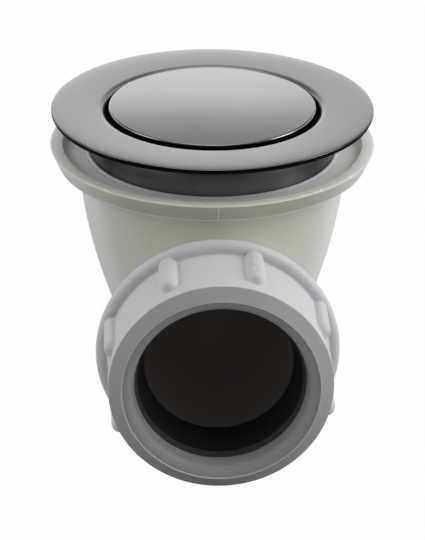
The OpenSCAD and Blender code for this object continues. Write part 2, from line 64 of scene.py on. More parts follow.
def rounded(outline, steps=5):
    """The outline as plain points, with an arc at each corner that has a third number, a radius."""
    points = []
    for i, corner in enumerate(outline):
        here = np.array(corner[:2], float)
        if len(corner) < 3:
            points.append(here)
            continue
        radius = corner[2]
        before = np.array(outline[i - 1][:2], float) - here
        after = np.array(outline[(i + 1) % len(outline)][:2], float) - here
        before /= np.linalg.norm(before)
        after /= np.linalg.norm(after)
        half = math.acos(max(-1.0, min(1.0, float(before @ after)))) / 2
        reach = radius / math.tan(half)
        middle = before + after
        centre = here + middle / np.linalg.norm(middle) * radius / math.sin(half)
        start = here + before * reach - centre
        end = here + after * reach - centre
        first = math.atan2(start[1], start[0])
        sweep = math.atan2(end[1], end[0]) - first
        sweep = (sweep + math.pi) % (2 * math.pi) - math.pi
        for k in range(steps + 1):
            a = first + sweep * k / steps
            points.append(centre + radius * np.array([math.cos(a), math.sin(a)]))
    return points


def piece_of(name, corners, faces, place=None):
    """A linked mesh object from corners in millimetres, with its faces turned outwards."""
    mesh = bpy.data.meshes.new(name)
    mesh.from_pydata([tuple(c) for c in corners], [], faces)
    if place is not None:
        mesh.transform(place)
    mesh.transform(Matrix.Scale(0.001, 4))
    work = bmesh.new()
    work.from_mesh(mesh)
    bmesh.ops.remove_doubles(work, verts=work.verts, dist=1e-7)
    bmesh.ops.recalc_face_normals(work, faces=work.faces)
    work.to_mesh(mesh)
    work.free()
    piece = bpy.data.objects.new(name, mesh)
    bpy.context.scene.collection.objects.link(piece)
    return piece


def turned(name, outline, columns=160, place=None):
    """A closed solid of revolution. The outline goes round its section as (radius, height)."""
    corners = []
    faces = []
    rows = len(outline)
    for c in range(columns):
        a = 2 * math.pi * c / columns
        corners += [(p[0] * math.cos(a), p[0] * math.sin(a), p[1]) for p in outline]
    for c in range(columns):
        d = (c + 1) % columns
        for r in range(rows):
            s = (r + 1) % rows
            if outline[r][0] < 1e-6 and outline[s][0] < 1e-6:
                continue
            faces.append((c * rows + r, d * rows + r, d * rows + s, c * rows + s))
    return piece_of(name, corners, faces, place)


def combine(piece, other, operation):
    """Joins other to piece, or cuts it out, and deletes other."""
    step = piece.modifiers.new("step", "BOOLEAN")
    step.operation = operation
    step.solver = "EXACT"
    step.object = other
    shape = bpy.context.evaluated_depsgraph_get()
    piece_mesh = bpy.data.meshes.new_from_object(piece.evaluated_get(shape))
    piece.modifiers.remove(step)
    piece.data = piece_mesh
    piece.data.name = piece.name
    bpy.data.objects.remove(other)


def smooth(piece, crease=32):
    """Smooth shading, broken only where two faces meet at more than the crease angle."""
    piece.data.shade_smooth()
    piece.data.set_sharp_from_angle(angle=math.radians(crease))


def clad(piece, *materials):
    """Gives the piece these material slots in place of any that it has."""
    piece.data.materials.clear()
    for material in materials:
        piece.data.materials.append(material)


def shader_of(material):
    """The shader that a finish is made of."""
    return material.node_tree.nodes["Principled BSDF"]


def finish(name, colour, roughness, metallic=0.0):
    """A material with its plain shader, for the sections below to add grain and painted light to.
    """
    material = bpy.data.materials.new(name)
    material.use_nodes = True
    settings = shader_of(material).inputs
    settings["Base Color"].default_value = (*colour, 1)
    settings["Roughness"].default_value = roughness
    settings["Metallic"].default_value = metallic
    return material


def translucent(material, weight, depth):
    """Lets light into a plastic, to a depth in metres, without a colour cast."""
    settings = shader_of(material).inputs
    settings["Subsurface Weight"].default_value = weight
    settings["Subsurface Radius"].default_value = (1.0, 1.0, 1.0)
    settings["Subsurface Scale"].default_value = depth


def glow_as_painted_light(material, colour, strength):
    """Painted light: the surface glows, as strong as a number or a socket says."""
    settings = shader_of(material).inputs
    settings["Emission Color"].default_value = (*colour, 1)
    if isinstance(strength, float):
        settings["Emission Strength"].default_value = strength
    else:
        material.node_tree.links.new(strength, settings["Emission Strength"])


def maths(tree, operation, first, second=None):
    """The result of one sum on one or two values, each a number or a socket."""
    step = tree.nodes.new("ShaderNodeMath")
    step.operation = operation
    for slot, value in enumerate((first, second)):
        if isinstance(value, (int, float)):
            step.inputs[slot].default_value = value
        elif value is not None:
            tree.links.new(value, step.inputs[slot])
    return step.outputs["Value"]


def fade(tree, value, start, end, low=0.0, high=1.0, how="LINEAR"):
    """Goes from low to high while the value goes from start to end, and stays there beyond them."""
    step = tree.nodes.new("ShaderNodeMapRange")
    step.interpolation_type = how
    step.inputs["From Min"].default_value = start
    step.inputs["From Max"].default_value = end
    step.inputs["To Min"].default_value = low
    step.inputs["To Max"].default_value = high
    tree.links.new(value, step.inputs["Value"])
    return step.outputs["Result"]


def tones_along(tree, value, stops):
    """A colour that follows a value, from (position, colour) stops."""
    ramp = tree.nodes.new("ShaderNodeValToRGB")
    elements = ramp.color_ramp.elements
    while len(elements) < len(stops):
        elements.new(0.5)
    for element, (position, colour) in zip(elements, stops):
        element.position = position
        element.color = (*colour, 1)
    tree.links.new(value, ramp.inputs["Fac"])
    return ramp.outputs["Color"]


def mixed(tree, how, share, first, second):
    """Two colours mixed or multiplied. Each value is a socket or plain."""
    step = tree.nodes.new("ShaderNodeMix")
    step.data_type = "RGBA"
    step.blend_type = how
    for name, value in (("Factor", share), ("A", first), ("B", second)):
        if isinstance(value, bpy.types.NodeSocket):
            tree.links.new(value, step.inputs[name])
        else:
            step.inputs[name].default_value = value
    return step.outputs["Result"]


def own_axes(tree):
    """The piece's own X, Y and Z in metres, which move with it."""
    place = tree.nodes.new("ShaderNodeTexCoord")
    split = tree.nodes.new("ShaderNodeSeparateXYZ")
    tree.links.new(place.outputs["Object"], split.inputs["Vector"])
    return split.outputs["X"], split.outputs["Y"], split.outputs["Z"]


def grain(tree, scale, detail):
    """A cloudy noise that moves with the piece."""
    place = tree.nodes.new("ShaderNodeTexCoord")
    noise = tree.nodes.new("ShaderNodeTexNoise")
    noise.inputs["Scale"].default_value = scale
    noise.inputs["Detail"].default_value = detail
    tree.links.new(place.outputs["Object"], noise.inputs["Vector"])
    return noise.outputs["Fac"]


def speckle(material, scale, depth, roughness, detail=4.0):
    """Fine grain as bump, with the roughness varying between two values over the same grain."""
    tree = material.node_tree
    noise = grain(tree, scale, detail)
    bump = tree.nodes.new("ShaderNodeBump")
    bump.inputs["Strength"].default_value = 1.0
    bump.inputs["Distance"].default_value = depth
    tree.links.new(noise, bump.inputs["Height"])
    tree.links.new(bump.outputs["Normal"], shader_of(material).inputs["Normal"])
    dull = fade(tree, noise, start=0.3, end=0.7, low=roughness[0], high=roughness[1])
    tree.links.new(dull, shader_of(material).inputs["Roughness"])


def mottle(material, first, second, scale, low=0.35, high=0.65):
    """A slow drift of the base colour between two near tones."""
    tree = material.node_tree
    drift = tones_along(tree, grain(tree, scale, 3), [(low, first), (high, second)])
    tree.links.new(drift, shader_of(material).inputs["Base Color"])
    return drift


body_low, body_high = box_mm("drain_body")
body_base = body_low.z
spigot_end = -body_low.y
rim_r = body_high.x
rim_top = body_high.z
rim_h = 4.7
rim_draft = 2.1
rim_bottom = rim_top - rim_h
recess_wall = 3.25
recess_h = 2.0
recess_r = rim_r - recess_wall
recess_floor = rim_top - recess_h
mouth_r = 33.0
bead_r = 32.6
bead_h = 0.25
bead_w = 0.6
bead_foot = 0.3
bowl_wall = 2.35
bowl_r = mouth_r + bowl_wall
bowl_draw = 19.95
bowl_power = 1.7
bowl_h = rim_bottom - body_base
foot_top = body_base + 2.6
foot_inset = 2.2
foot_round = 3.2
floor_t = 2.8
floor_top = body_base + floor_t
ledge_top = -17.6
ledge_w = 1.6
ledge_h = 2.5
ledge_r = mouth_r - ledge_w
ledge_foot = ledge_top - ledge_h
post_r = 9.0
post_top = -46.94
screw_r = 6.0
screw_room_floor = -61.5
insert_l = 12.0
insert_r = 7.45
socket_r = 20.4
seal_cone_l = 8.3
flare_r = 21.85
thread_r = 23.9
thread_pitch = 2.309
thread_core_r = thread_r - 0.64 * thread_pitch
collar_r = 25.0
collar_y = 36.0
web_t = 1.8
web_h = 10.0
web_r = bowl_r - bowl_draw - 0.4
web_foot = floor_top - 1
wall_columns = 224
small_columns = 96
# The shapes that cut a room stand this far out of its mouth.
overcut = 1


def bowl_radius(z):
    """The outer radius of the bowl's wall at a height."""
    return bowl_r - bowl_draw * ((rim_bottom - z) / bowl_h) ** bowl_power


def bowl_side(z0, z1, inset, steps=48):
    """The bowl's wall from one height to another, moved inwards by the inset."""
    heights = [z0 + (z1 - z0) * i / steps for i in range(steps + 1)]
    return [(bowl_radius(z) - inset, z) for z in heights]


outside = [(0, body_base), (bowl_radius(foot_top) - foot_inset, body_base, foot_round)]
outside += bowl_side(foot_top, rim_bottom - 0.6, 0)
outside += [(bowl_r, rim_bottom, 0.5), (rim_r - rim_draft, rim_bottom, 0.6)]
outside += [(rim_r, rim_top, 0.35), (0, rim_top)]

inside = [(0, floor_top)]
inside += bowl_side(floor_top, ledge_foot - ledge_w, bowl_wall)
inside += [(ledge_r, ledge_foot, 0.8), (ledge_r, ledge_top, 0.3), (mouth_r, ledge_top, 0.3)]
inside += [(mouth_r, recess_floor - 0.6), (bead_r, recess_floor - 0.1)]
inside += [(bead_r, recess_floor + bead_h, 0.12), (bead_r + bead_w, recess_floor + bead_h, 0.3)]
inside += [(bead_r + bead_w + bead_foot, recess_floor, 0.2), (recess_r, recess_floor, 0.4)]
inside += [(recess_r, rim_top + overcut), (0, rim_top + overcut)]

spigot = [(0, post_r), (collar_r, post_r), (collar_r, collar_y, 0.5)]
spigot += [(thread_core_r, collar_y, 0.4), (thread_core_r, spigot_end, 0.6), (0, spigot_end)]
socket_start = post_r + 2
spigot_bore = [(0, socket_start), (socket_r, socket_start), (socket_r, spigot_end - seal_cone_l)]
spigot_bore += [(flare_r, spigot_end), (flare_r, spigot_end + overcut), (0, spigot_end + overcut)]
post = [(0, web_foot), (post_r, web_foot), (post_r, post_top, 0.4), (0, post_top)]
post_hole = [(0, screw_room_floor), (screw_r, screw_room_floor), (screw_r, post_top - insert_l)]
post_hole += [(insert_r, post_top - insert_l), (insert_r, post_top + overcut)]
post_hole += [(0, post_top + overcut)]
web_side = [(post_r - 1, web_foot), (web_r, web_foot), (web_r, floor_top + 1)]
web_side += [(post_r - 1, floor_top + web_h)]

bowl = turned("bowl", rounded(outside), wall_columns)
combine(bowl, turned("spigot_bar", rounded(spigot), place=to_outlet), "UNION")
combine(bowl, turned("bowl_room", rounded(inside), wall_columns), "DIFFERENCE")
combine(bowl, turned("pipe_room", spigot_bore, place=to_outlet), "DIFFERENCE")
combine(bowl, turned("post_bar", rounded(post), small_columns), "UNION")
corners = [(r, side * web_t / 2, z) for side in (-1, 1) for r, z in web_side]
faces = [(0, 1, 2, 3), (7, 6, 5, 4)]
faces += [(i, (i + 1) % 4, (i + 1) % 4 + 4, i + 4) for i in range(4)]
for quarter in range(4):
    web_place = Matrix.Rotation(math.radians(45 + 90 * quarter), 4, "Z")
    combine(bowl, piece_of("web", corners, faces, web_place), "UNION")
combine(bowl, turned("post_room", post_hole, small_columns), "DIFFERENCE")
smooth(bowl)

natural = finish("natural_polypropylene", (0.88, 0.88, 0.82), 0.42)
translucent(natural, weight=0.6, depth=0.002)
speckle(natural, 900, 0.00002, (0.38, 0.48))
clear = mottle(natural, (0.875, 0.875, 0.83), (0.905, 0.905, 0.86), 30)
tree = natural.node_tree
x_here, y_here, z_here = own_axes(tree)

# The rim's front carries painted light: painted shade darkens its middle, and a painted
# highlight lightens its thin lower edge.
rim_edge_painted_highlight = (0.94, 0.94, 0.79)
rim_painted_shade = (0.62, 0.62, 0.52)
top_tone = (0.91, 0.91, 0.77)
up_the_rim = fade(tree, z_here, start=(rim_bottom - 1) / 1000, end=rim_top / 1000)
rim_painted_light_stops = [(0.0, rim_edge_painted_highlight), (1.0, rim_painted_shade), (5.2, rim_painted_shade), (5.6, top_tone)]
rim_painted_light_tones = tones_along(tree, up_the_rim, [(h / (rim_h + 1), tone) for h, tone in rim_painted_light_stops])
toward_spigot = fade(tree, y_here, start=-0.036, end=-0.020, low=1.0, high=0.0)
above_spigot = fade(tree, z_here, start=-0.045, end=-0.030, low=0.35)
front_painted_shade_mask = maths(tree, "MULTIPLY", toward_spigot, above_spigot)
walls = mixed(tree, "MIX", front_painted_shade_mask, clear, rim_painted_light_tones)

# Below the rim the front of the bowl is a little darker: painted shade where no light falls.
below_rim = fade(
    tree, z_here, start=(rim_bottom + 0.2) / 1000, end=(rim_bottom - 1.5) / 1000)
toward_front = fade(tree, y_here, start=-0.016, end=-0.036)
front_wall_painted_shade = tones_along(tree, toward_front, [
    (0.0, (1.0, 1.0, 1.0)), (0.3, (0.86, 0.86, 0.84)),
    (0.7, (0.84, 0.84, 0.84)), (1.0, (0.96, 0.96, 0.98)),
])
toned = mixed(tree, "MULTIPLY", below_rim, walls, front_wall_painted_shade)
tree.links.new(toned, shader_of(natural).inputs["Base Color"])

# Inside the bowl and the pipe: painted shade, dark brown, with a faint painted glow.
shade = finish("painted_shade_inside", (0.10, 0.085, 0.08), 0.55)
glow_as_painted_light(shade, (1.0, 0.81, 0.76), 0.0115)
speckle(shade, 700, 0.00002, (0.5, 0.62))

# Painted light: the recess floor is paler than the walls and glows, more towards the right.
recess = finish("recess_floor", (0.95, 0.95, 0.90), 0.5)
translucent(recess, weight=0.6, depth=0.002)
mottle(recess, (0.80, 0.80, 0.74), (1.0, 1.0, 0.96), 2400, 0.30, 0.52)
speckle(recess, 2400, 0.00006, (0.45, 0.6))
tree = recess.node_tree
x_here, _, _ = own_axes(tree)
glow_stronger_to_right = fade(tree, x_here, start=0.008, end=0.034, low=0.026, high=0.080)
glow_as_painted_light(recess, (1.0, 1.0, 0.97), glow_stronger_to_right)

# Inner faces take the painted shade, and the recess floor its painted glow.
clad(bowl, natural, shade, recess)
for face in bowl.data.polygons:
    x, y, z = face.center * 1000
    r = math.hypot(x, y)
    in_recess = abs(z - recess_floor) < 0.3 and bead_r - 0.1 < r < recess_r
    in_bowl = floor_top - 0.1 < z < ledge_top and r < bowl_radius(z) - bowl_wall / 2
    in_spigot = y < -post_r and math.hypot(x, z + outlet_drop) < flare_r + 0.1
    if in_recess:
        face.material_index = 2
    elif in_bowl or in_spigot:
        face.material_index = 1
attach(bowl, "body")
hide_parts("drain_body")


# Mould seams
# The bowl's mould leaves a thin line of flash down its front and back, and a ragged one round the
# top and bottom edges of the rim. They are paler than the walls, because they are so thin. The
# ragged one round the rim also has a painted glow.
def ridge(name, points, ups, sides, heights, width, place=None):
    """A thin fin of triangular section along a line, as high as heights says at each point."""
    sunk = 0.06
    corners = []
    for point, up, side, height in zip(points, ups, sides, heights):
        foot = point - up * sunk
        corners += [foot - side * width / 2, foot + side * width / 2, point + up * height]
    faces = [(0, 1, 2), (len(corners) - 1, len(corners) - 2, len(corners) - 3)]
    for i in range(len(points) - 1):
        for s in range(3):
            t = (s + 1) % 3
            faces.append((i * 3 + s, i * 3 + 3 + s, i * 3 + 3 + t, i * 3 + t))
    return piece_of(name, corners, faces, place)


flash = finish("thin_flash", (0.98, 0.98, 0.94), 0.4)
shader_of(flash).inputs["Subsurface Weight"].default_value = 0.4
shader_of(flash).inputs["Subsurface Scale"].default_value = 0.001
speckle(flash, 1200, 0.00002, (0.35, 0.5))

# The front seam ends where the spigot's top meets the bowl, and the back one at the foot.
seam_w = 0.36
seam_h = 0.07
seam_wave = 0.04
spigot_joint = collar_r - outlet_drop
rng = np.random.default_rng(7)
for name, sign, low in (("front_seam", -1, spigot_joint), ("back_seam", 1, foot_top)):
    rim_heights = np.linspace(rim_top - 0.25, rim_bottom + 0.15, 9)
    line = [(rim_r - rim_draft * (rim_top - z) / rim_h, z) for z in rim_heights]
    line += [(bowl_r + 0.3, rim_bottom), (bowl_r, rim_bottom - 0.5)]
    line += [(bowl_radius(z), z) for z in np.linspace(rim_bottom - 1, low, 24)]
    points = [Vector((0, sign * r, z)) for r, z in line]
    ups = []
    for i in range(len(points)):
        run = (points[min(i + 1, len(points) - 1)] - points[max(i - 1, 0)]).normalized()
        ups.append(Vector((0, -run.z * sign, run.y * sign)))
    sides = [Vector((1, 0, 0))] * len(points)
    heights = [0.0] + [seam_h + seam_wave * rng.random() for _ in points[2:]] + [0.0]
    seam = ridge(name, points, ups, sides, heights, seam_w)
    clad(seam, flash)
    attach(seam, "body")

# Each swell and nick of the flash round the rim: its place in degrees, height and half width.
swells = [
    (229.0, 0.07, 11.0), (251.0, 0.04, 9.0), (306.0, 0.09, 22.0), (20.0, 0.06, 40.0),
    (130.0, 0.06, 50.0),
]
nicks = [
    (228.9, 0.24, 0.9), (245.9, 0.16, 0.5), (248.5, 0.14, 0.6), (250.9, 0.17, 0.5),
    (257.6, 0.28, 0.5), (258.8, 0.26, 0.4), (263.9, 0.20, 0.5), (300.2, 0.18, 0.4),
    (305.8, 0.26, 0.5), (308.0, 0.50, 0.5), (323.6, 0.26, 0.7), (331.6, 0.26, 0.6),
]
flash_w = 0.42
flash_inset = 0.27
flash_sink = 0.07


def humps(turn, rows):
    """How high the flash stands at a turn round the rim, all its swells or nicks together."""
    return sum(h * math.exp(-((turn - middle) / w) ** 2) for middle, h, w in rows)


points, ups, sides, heights = [], [], [], []
for step in range(721):
    turn = step * 0.5
    a = math.radians(turn)
    out = Vector((math.cos(a), math.sin(a), 0))
    ragged = humps(turn, swells) * (0.6 + 0.8 * rng.random()) + humps(turn, nicks)
    points.append(out * (rim_r - flash_inset) + Vector((0, 0, rim_top)))
    ups.append(Vector((0, 0, 1)))
    sides.append(out)
    heights.append(ragged - flash_sink)
rim_flash = ridge("rim_flash", points, ups, sides, heights, flash_w)
# The rim's flash glows a little: painted light.
flash_with_painted_glow = finish("rim_flash", (0.98, 0.98, 0.94), 0.4)
glow_as_painted_light(flash_with_painted_glow, (1.0, 1.0, 0.96), 0.12)
clad(rim_flash, flash_with_painted_glow)
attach(rim_flash, "body")

line_r = rim_r - rim_draft - 0.02
line_z = rim_bottom + 0.12
rim_line = turned("rim_line", [
    (line_r - 0.3, line_z - 0.1), (line_r + 0.02, line_z - 0.2),
    (line_r + 0.13, line_z), (line_r, line_z + 0.25),
], wall_columns)
smooth(rim_line, 50)
clad(rim_line, flash)
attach(rim_line, "body")


# Spigot thread
# The pipe thread that the nut runs on is moulded with the spigot in the same polypropylene. Its
# crest is rounded, and it runs out into the spigot's skin at both ends.
def helix(name, root_r, crest_r, start, end, pitch, place=None, steps=72):
    """A closed ridge that winds along an axis and fades out over a quarter turn at both ends."""
    turns = (end - start - pitch) / pitch
    count = int(turns * steps)
    run_out = steps / 4
    sunk_r = root_r - 0.3
    foot_w, shoulder_w, crest_w = 0.46 * pitch, 0.17 * pitch, 0.06 * pitch
    corners = []
    for i in range(count + 1):
        a = 2 * math.pi * i / steps
        h = start + pitch / 2 + pitch * i / steps
        full = min(1.0, i / run_out, (count - i) / run_out)
        crest = root_r + (crest_r - root_r) * full
        shoulder = root_r + (crest_r - root_r) * 0.82 * full
        section = [
            (sunk_r, -foot_w), (shoulder, -shoulder_w), (crest, -crest_w),
            (crest, crest_w), (shoulder, shoulder_w), (sunk_r, foot_w),
        ]
        corners += [(r * math.cos(a), r * math.sin(a), h + dh) for r, dh in section]
    faces = []
    for i in range(count):
        for s in range(6):
            t = (s + 1) % 6
            faces.append((i * 6 + s, (i + 1) * 6 + s, (i + 1) * 6 + t, i * 6 + t))
    faces.append(tuple(range(6)))
    faces.append(tuple(range(count * 6 + 5, count * 6 - 1, -1)))
    return piece_of(name, corners, faces, place)


thread_start = collar_y + 0.8
thread_end = spigot_end - 0.8
spigot_thread = helix(
    "spigot_thread", thread_core_r, thread_r, thread_start, thread_end, thread_pitch, to_outlet)
smooth(spigot_thread, 50)
clad(spigot_thread, natural)
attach(spigot_thread, "body")


# Outlet seal
# A black rubber cone seal is pushed into the spigot's mouth and held by the nut. Its sloping lip
# shows inside the nut.
seal_low, seal_high = box_mm("outlet_seal")
seal_front = -seal_low.y
seal_back = -seal_high.y
seal_bore_r = 19.0
seal_tip_r = 20.25
seal_cone_r = 21.7
seal_r = 23.6
seal_mouth_r = 21.8
seal_lip_r = 20.9
seal_lip_y = seal_front - 1.3
cone_seal = turned("cone_seal", rounded([
    (seal_bore_r, seal_back, 0.15), (seal_tip_r, seal_back, 0.2), (seal_cone_r, spigot_end),
    (seal_r, spigot_end, 0.2), (seal_r, seal_front, 0.3),
    (seal_mouth_r, seal_front, 0.25), (seal_lip_r, seal_lip_y, 0.3),
]), 192, to_outlet)
smooth(cone_seal)
rubber = finish("black_rubber", (0.024, 0.024, 0.027), 0.45)
speckle(rubber, 1500, 0.00002, (0.42, 0.6))
# The seal's outward faces are a lighter copy of the rubber: painted light.
rubber_painted_light_face = finish("rubber_flange_painted_light", (0.062, 0.062, 0.066), 0.5)
speckle(rubber_painted_light_face, 1500, 0.00002, (0.42, 0.6))
clad(cone_seal, rubber, rubber_painted_light_face)
for face in cone_seal.data.polygons:
    looks_out = -face.normal.y > 0.5
    if looks_out:
        face.material_index = 1
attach(cone_seal, "body")
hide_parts("outlet_seal")


# Outlet nut
# The compression nut is moulded in pale grey polypropylene with eight rounded grip ribs, a round
# ring at its rear and a spark-eroded front face. A gate mark is left on one rib.
nut_low, nut_high = box_mm("outlet_nut")
nut_back = -nut_high.y
nut_front = -nut_low.y
nut_bore_r = 24.0
nut_r = 28.3
nut_opening_r = 22.1
nut_round = 0.5
nut_ring_r = 31.3
nut_ring_t = 4.25
nut_edge_y = nut_front - 2.0
nut_shoulder = nut_front - 4.5
nut_lead = 0.6
nut_lip_r = nut_opening_r - 0.45
nut_lip_end = nut_shoulder - 0.8
crest_r = 24.9
crest_y = nut_front - 0.05
roll_start_r = crest_r - 0.14
roll_r = nut_opening_r - 0.05
roll_h = 2.1
roll_y = crest_y - 2.45
rib_count = 8
rib_r = 2.45
rib_axis_r = nut_r + 2.25 - rib_r
rib_front = nut_edge_y - 3.6 - rib_r
rib_phase = 117.0
rib_blend = 0.7
rib_turn = 0.95 * rib_r
rib_slope = 3.04


def arc(r, h, wide, high, first, last, steps):
    """Points of a section on an arc with its middle at (r, h), from one angle to another."""
    angles = [math.radians(first + (last - first) * i / steps) for i in range(steps + 1)]
    return [(r + wide * math.cos(a), h + high * math.sin(a)) for a in angles]


def between(p, q, steps):
    """Points inside the straight line from p to q, which keep the faces along it short."""
    return [tuple(np.array(p) + (np.array(q) - np.array(p)) * i / steps) for i in range(1, steps)]


def rib_height(offset, along):
    """Radius of a rib's skin at a sideways offset and a place along the nut, steep outside it."""
    past = max(along - rib_front, 0.0)
    away = math.hypot(offset, past)
    if away < rib_turn:
        return rib_axis_r + math.sqrt(rib_r ** 2 - away ** 2)
    return rib_axis_r + math.sqrt(rib_r ** 2 - rib_turn ** 2) - rib_slope * (away - rib_turn)


def blended(a, b, width):
    """The larger of two radii, with a soft hollow where they are nearly the same."""
    lap = max(width - abs(a - b), 0.0) / width
    return max(a, b) + lap * lap * width / 4


tip = nut_ring_t / 2
ring_front = nut_back + nut_ring_t
barrel_start = (nut_r, ring_front + nut_round)
barrel_middle = (nut_r, rib_front - 1)
barrel_end = (nut_r, nut_edge_y - nut_round)
crest_start = (crest_r + 0.12, crest_y - 0.05)
edge_round = arc(nut_r - nut_round, nut_edge_y - nut_round, nut_round, nut_round, 11.4, 57, 4)

nut_outline = [(nut_bore_r, nut_shoulder), (nut_bore_r, nut_back + nut_lead)]
nut_outline += [(nut_bore_r + nut_lead, nut_back)]
nut_outline += arc(nut_ring_r - tip, nut_back + tip, tip, tip, -90, 90, 18)
nut_outline += between((nut_ring_r - tip, ring_front), (nut_r + nut_round, ring_front), 5)
nut_outline += arc(nut_r + nut_round, ring_front + nut_round, nut_round, nut_round, -90, -180, 6)
nut_outline += between(barrel_start, barrel_middle, 5)
nut_outline += between(barrel_middle, barrel_end, 22) + [barrel_end] + edge_round
nut_outline += between(edge_round[-1], crest_start, 5)
nut_outline += [crest_start, (crest_r + 0.03, crest_y), (crest_r - 0.08, crest_y - 0.04)]
nut_outline += arc(roll_start_r, roll_y, roll_start_r - roll_r, roll_h, 90, 180, 12)
nut_outline += [(nut_lip_r, nut_shoulder + 0.3), (nut_lip_r, nut_lip_end)]
nut_outline += [(nut_opening_r - 0.1, nut_lip_end), (nut_opening_r - 0.1, nut_shoulder)]

# The columns stand close together on a rib's side and foot, and wide apart between the ribs.
half_sector = 180.0 / rib_count
on_rib = [0.3 * i for i in range(6)]
on_rib += [1.7 + 0.13 * i for i in range(14)]
offsets = [math.degrees(v / nut_r) for v in on_rib]
offsets += [offsets[-1] + (half_sector - offsets[-1]) * i / 7 for i in range(1, 8)]
sector = [-v for v in reversed(offsets[1:-1])] + offsets
corners = []
faces = []
for rib in range(rib_count):
    for turn in sector:
        a = math.radians(rib_phase + rib * 360 / rib_count + turn)
        for r, h in nut_outline:
            if ring_front + 0.02 < h < nut_edge_y + 0.2 and r > crest_r + 2:
                r = blended(r, rib_height(nut_r * math.radians(turn), h), rib_blend)
            corners.append((r * math.cos(a), r * math.sin(a), h))
columns = rib_count * len(sector)
rows = len(nut_outline)
for c in range(columns):
    d = (c + 1) % columns
    for r in range(rows):
        s = (r + 1) % rows
        faces.append((c * rows + r, d * rows + r, d * rows + s, c * rows + s))
grip_nut = piece_of("grip_nut", corners, faces, to_outlet)
smooth(grip_nut, 40)

grey = finish("grey_polypropylene", (0.69, 0.703, 0.72), 0.45)
mottle(grey, (0.68, 0.693, 0.71), (0.705, 0.718, 0.735), 60)
speckle(grey, 1400, 0.00003, (0.4, 0.5))
# The spark-eroded front face is darker than the barrel: partly its finish, partly painted shade.
spark_face_and_painted_shade = finish("grey_eroded_face_painted_shade", (0.49, 0.49, 0.51), 0.55)
mottle(spark_face_and_painted_shade, (0.465, 0.463, 0.485), (0.515, 0.513, 0.535), 2600, 0.3, 0.7)
speckle(spark_face_and_painted_shade, 2600, 0.00006, (0.5, 0.62))
parting = finish("grey_parting_line", (0.72, 0.73, 0.74), 0.45)
speckle(parting, 1400, 0.00003, (0.4, 0.5))
# The nut's mouth is a darker copy of the grey: painted shade in the hollow.
mouth_in_painted_shade = finish("grey_mouth_painted_shade", (0.43, 0.435, 0.445), 0.32)
speckle(mouth_in_painted_shade, 1400, 0.00002, (0.28, 0.38))
clad(grip_nut, grey, spark_face_and_painted_shade, parting, mouth_in_painted_shade)
for face in grip_nut.data.polygons:
    x, y, z = face.center * 1000
    r = math.hypot(x, z + outlet_drop)
    on_crest = -y > crest_y - 0.15 and abs(r - crest_r) < 0.14
    in_mouth = -y > nut_lip_end - 0.1 and r < roll_start_r
    in_front = -y > nut_edge_y - 0.2 and r > crest_r
    if on_crest:
        face.material_index = 2
    elif in_mouth:
        face.material_index = 3
    elif in_front:
        face.material_index = 1
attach(grip_nut, "nut")
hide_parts("outlet_nut")

# The gate mark is a cut stub in a shallow ring, a little off the middle of the topmost rib.
gate_offset = 0.6
gate_turn = math.radians(rib_phase - 45 + 1.2)
gate_r = rib_axis_r + math.sqrt(rib_r ** 2 - gate_offset ** 2)
gate_y = 54.0
gate_place = (
    to_outlet
    @ Matrix.Translation((gate_r * math.cos(gate_turn), gate_r * math.sin(gate_turn), gate_y))
    @ Matrix.Rotation(gate_turn, 4, "Z")
    @ Matrix.Rotation(math.pi / 2, 4, "Y")
)
gate_mark = turned("gate_mark", [
    (0, -0.5), (0.9, -0.5), (0.9, 0.0), (0.75, 0.10), (0.6, 0.07),
    (0.45, -0.06), (0.28, 0.02), (0.2, 0.14), (0, 0.2),
], 24, gate_place)
smooth(gate_mark, 60)
clad(gate_mark, grey)
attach(gate_mark, "nut")

# Each nick: its place in degrees round the nut, radius, place along it, length and height.
on_crest_r = crest_r + 0.05
on_crest_y = crest_y - 0.05
nut_nicks = [
    (38.5, on_crest_r, on_crest_y, 1.1, 0.10),
    (32.0, on_crest_r, on_crest_y, 0.7, 0.08),
    (20.5, nut_r - 0.1, nut_edge_y - 0.1, 0.9, 0.14),
    (118.0, on_crest_r, on_crest_y, 0.8, 0.06),
]
nick_w = 0.25
for number, (turn, r, h, length, height) in enumerate(nut_nicks):
    points, ups, sides, heights = [], [], [], []
    for step in range(9):
        a = math.radians(turn + math.degrees(length / r) * (step / 8 - 0.5))
        points.append(Vector((r * math.cos(a), r * math.sin(a), h)))
        ups.append(Vector((math.cos(a) * 0.8, math.sin(a) * 0.8, 0.3)))
        sides.append(Vector((math.cos(a) * 0.3, math.sin(a) * 0.3, -0.9)))
        heights.append(height * math.sin(math.pi * step / 8) ** 0.5)
    name = "nut_nick_%d" % (number + 1)
    nick = ridge(name, points, ups, sides, heights, nick_w, to_outlet)
    clad(nick, grey)
    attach(nick, "nut")

clad(nodes["slip_ring"], grey)


# Flange
# Turned brass with a dark gun-metal finish: polished on its thin, slightly convex face, satin on
# the skirt. Four arms inside the skirt carry the hub for the clamp screw.
flange_low, flange_high = box_mm("flange")
flange_r = flange_high.x
flange_top = flange_high.z
gasket_t = 0.5
edge_r = 0.2
lip_r = 1.7
lip_opening_r = 28.35
lip_polish_h = 1.15
opening_r = 28.85
throat_l = 9.0
skirt_r = 32.45
skirt_bore_r = 29.45
skirt_l = 17.5
hub_r = 10.5
hub_bottom = flange_low.z
hub_top = -35.94
washer_z = hub_bottom + 3.0
pocket_r = 8.1
screw_hole_r = 6.1
arm_r = (skirt_bore_r + skirt_r) / 2
arm_h = 5.0
arm_t = 3.0
arm_bevel = 0.35


